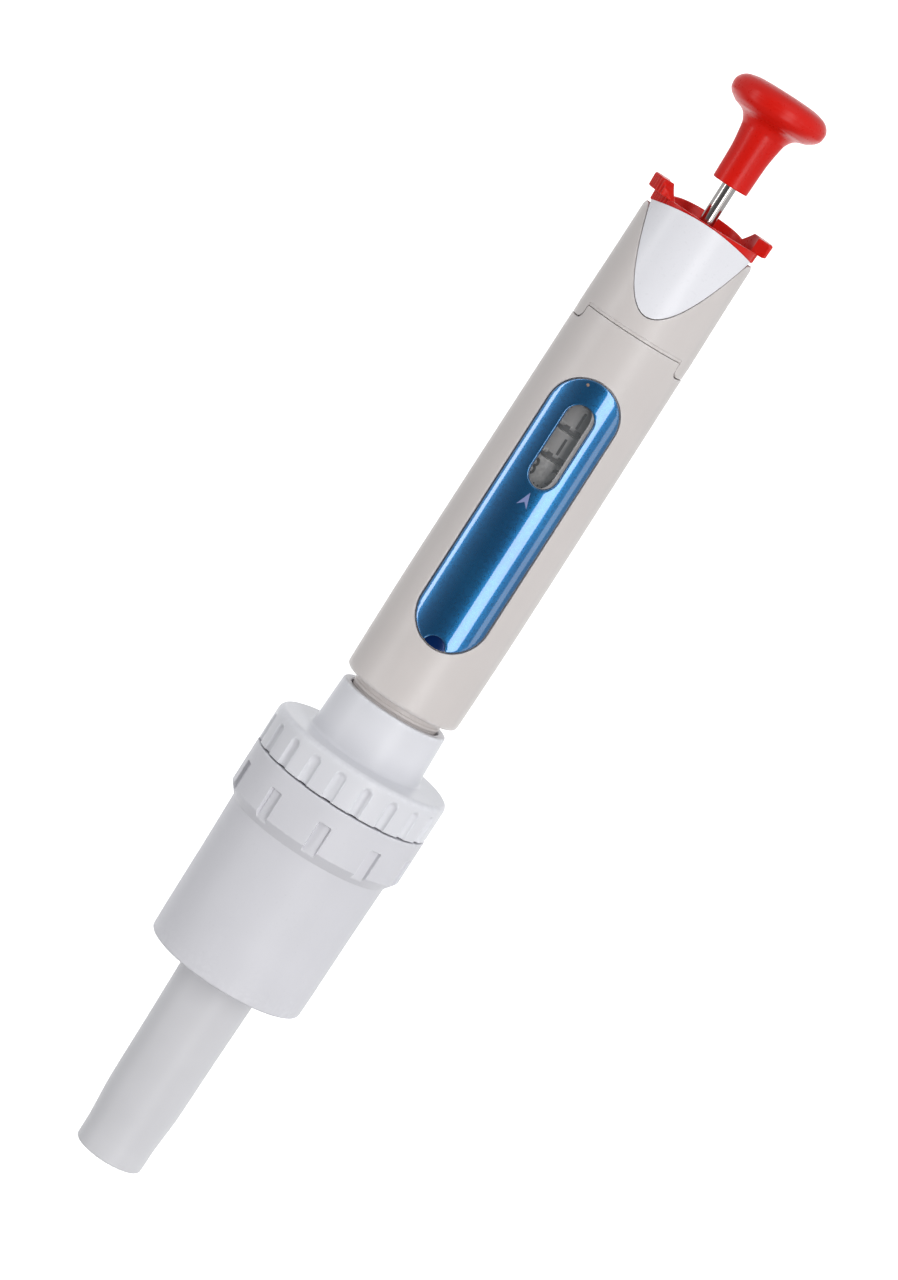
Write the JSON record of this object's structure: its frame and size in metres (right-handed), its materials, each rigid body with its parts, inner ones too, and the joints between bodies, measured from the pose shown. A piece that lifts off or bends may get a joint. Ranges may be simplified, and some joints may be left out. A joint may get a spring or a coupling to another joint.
{
  "type": "adjustable piston pipette",
  "caption": "Large-volume hand-held piston pipette with push button, volume lock ring, counter window, fluted collar, wide measuring cylinder and tip cone.",
  "frame": {"origin": "centre of the nozzle's bottom end, on the pipette's axis", "axes": "+Z along the axis towards the push button, -Y out of the counter window, +X to the right of a person facing the window"},
  "size_m": [0.0426, 0.0424, 0.2741],
  "materials": {
    "barrel_plastic": "satin, warm silver grey",
    "white_plastic": "satin, bluish white",
    "cylinder_plastic": "matt, pale grey white",
    "nozzle_plastic": "satin, pale grey",
    "blue_cover": "high gloss, metallic blue",
    "clear_window": "clear, polished",
    "red_plastic": "satin gloss, red",
    "drum_plastic": "matt, pale grey",
    "dark_plastic": "matt, dark grey",
    "polished_steel": "polished",
    "spring_steel": "drawn wire and turned steel",
    "brass": "turned",
    "piston_plastic": "smooth, off white",
    "seal_rubber": "black, lightly greased",
    "filter_felt": "pressed porous fibre"
  },
  "bodies": {
    "handle": {"lower_barrel": "barrel_plastic", "upper_barrel": "barrel_plastic", "top_cap": "white_plastic", "label_cover": "blue_cover", "window_lens": "clear_window", "counter_frame": "dark_plastic", "pinion_axle": "polished_steel", "spindle_nut": "brass", "stop_housing": "dark_plastic", "guide_bush": "brass", "rod_bush": "brass", "retaining_ring": "spring_steel", "blowout_spring": "spring_steel", "return_spring": "spring_steel"},
    "drive": {"drive_sleeve": "dark_plastic", "fine_drum": "drum_plastic", "drive_clip": "spring_steel"},
    "middle_drum": {"middle_drum": "drum_plastic"},
    "top_drum": {"top_drum": "drum_plastic"},
    "lower_pinion": {"lower_pinion": "drum_plastic"},
    "upper_pinion": {"upper_pinion": "drum_plastic"},
    "spindle": {"setting_spindle": "brass"},
    "plunger": {"push_button": "red_plastic", "plunger_rod": "polished_steel", "rod_stop_collar": "spring_steel", "spring_cup": "dark_plastic", "piston_rod": "piston_plastic", "piston": "piston_plastic", "piston_seal": "seal_rubber", "piston_screw": "spring_steel"},
    "first_stop": {"blowout_plate": "spring_steel"},
    "lock": {"lock_ring": "red_plastic"},
    "collar": {"fluted_collar": "white_plastic"},
    "cylinder": {"cylinder_body": "cylinder_plastic", "cylinder_gasket": "seal_rubber"},
    "nozzle_ring": {"nozzle_o_ring": "seal_rubber"},
    "nozzle": {"nozzle_tube": "nozzle_plastic", "nozzle_filter": "filter_felt"}
  },
  "joints": [
    {"name": "volume_turn", "type": "hinge", "parent": "handle", "child": "drive", "pos_m": [0, 0, 0.1], "axis": [0, 0, 1], "range_deg": [-2164, 1084]},
    {"name": "volume_lift", "type": "slide", "parent": "drive", "child": "spindle", "axis": [0, 0, 1], "range_m": [-0.0075, 0.00375]},
    {"name": "plunger_press", "type": "slide", "parent": "spindle", "child": "plunger", "axis": [0, 0, -1], "range_m": [0, 0.0114], "stiffness_N_per_m": 300, "springref_m": -0.01, "deforming": ["return_spring"]},
    {"name": "blowout_travel", "type": "slide", "parent": "handle", "child": "first_stop", "axis": [0, 0, -1], "range_m": [0, 0.00241], "deforming": ["blowout_spring"]},
    {"name": "middle_drum_turn", "type": "hinge", "parent": "handle", "child": "middle_drum", "pos_m": [0, 0, 0.1], "axis": [0, 0, 1], "range_deg": [-217, 109]},
    {"name": "top_drum_turn", "type": "hinge", "parent": "handle", "child": "top_drum", "pos_m": [0, 0, 0.1], "axis": [0, 0, 1], "range_deg": [-22, 11]},
    {"name": "lower_pinion_turn", "type": "hinge", "parent": "handle", "child": "lower_pinion", "pos_m": [0, 0.00965, 0.182], "axis": [0, 0, 1], "range_deg": [-271, 541]},
    {"name": "upper_pinion_turn", "type": "hinge", "parent": "handle", "child": "upper_pinion", "pos_m": [0, 0.00965, 0.189], "axis": [0, 0, 1], "range_deg": [-28, 55]},
    {"name": "lock_turn", "type": "hinge", "parent": "handle", "child": "lock", "pos_m": [0, 0, 0.1], "axis": [0, 0, 1], "range_deg": [-34, 0]},
    {"name": "collar_turn", "type": "hinge", "parent": "handle", "child": "collar", "pos_m": [0, 0, 0.1], "axis": [0, 0, 1], "range_deg": [0, 723]},
    {"name": "cylinder_drop", "type": "slide", "parent": "handle", "child": "cylinder", "axis": [0, 0, -1], "range_m": [0, 0.006]},
    {"name": "nozzle_drop", "type": "slide", "parent": "cylinder", "child": "nozzle_ring", "axis": [0, 0, -1], "range_m": [0, 0.003]},
    {"name": "nozzle_turn", "type": "hinge", "parent": "nozzle_ring", "child": "nozzle", "pos_m": [0, 0, 0.1], "axis": [0, 0, -1], "range_deg": [0, 723]}
  ],
  "couplings": [
    {"joint": "volume_turn", "follows": "volume_lift", "rad_per_m": 5026.5},
    {"joint": "middle_drum_turn", "follows": "volume_lift", "rad_per_m": 502.65},
    {"joint": "top_drum_turn", "follows": "volume_lift", "rad_per_m": 50.265},
    {"joint": "lower_pinion_turn", "follows": "volume_lift", "rad_per_m": -1256.6},
    {"joint": "upper_pinion_turn", "follows": "volume_lift", "rad_per_m": -125.66},
    {"joint": "blowout_travel", "follows": "plunger_press", "ratio": 0.21053},
    {"joint": "collar_turn", "follows": "cylinder_drop", "rad_per_m": 2094.4},
    {"joint": "nozzle_turn", "follows": "nozzle_drop", "rad_per_m": 4188.8}
  ]
}
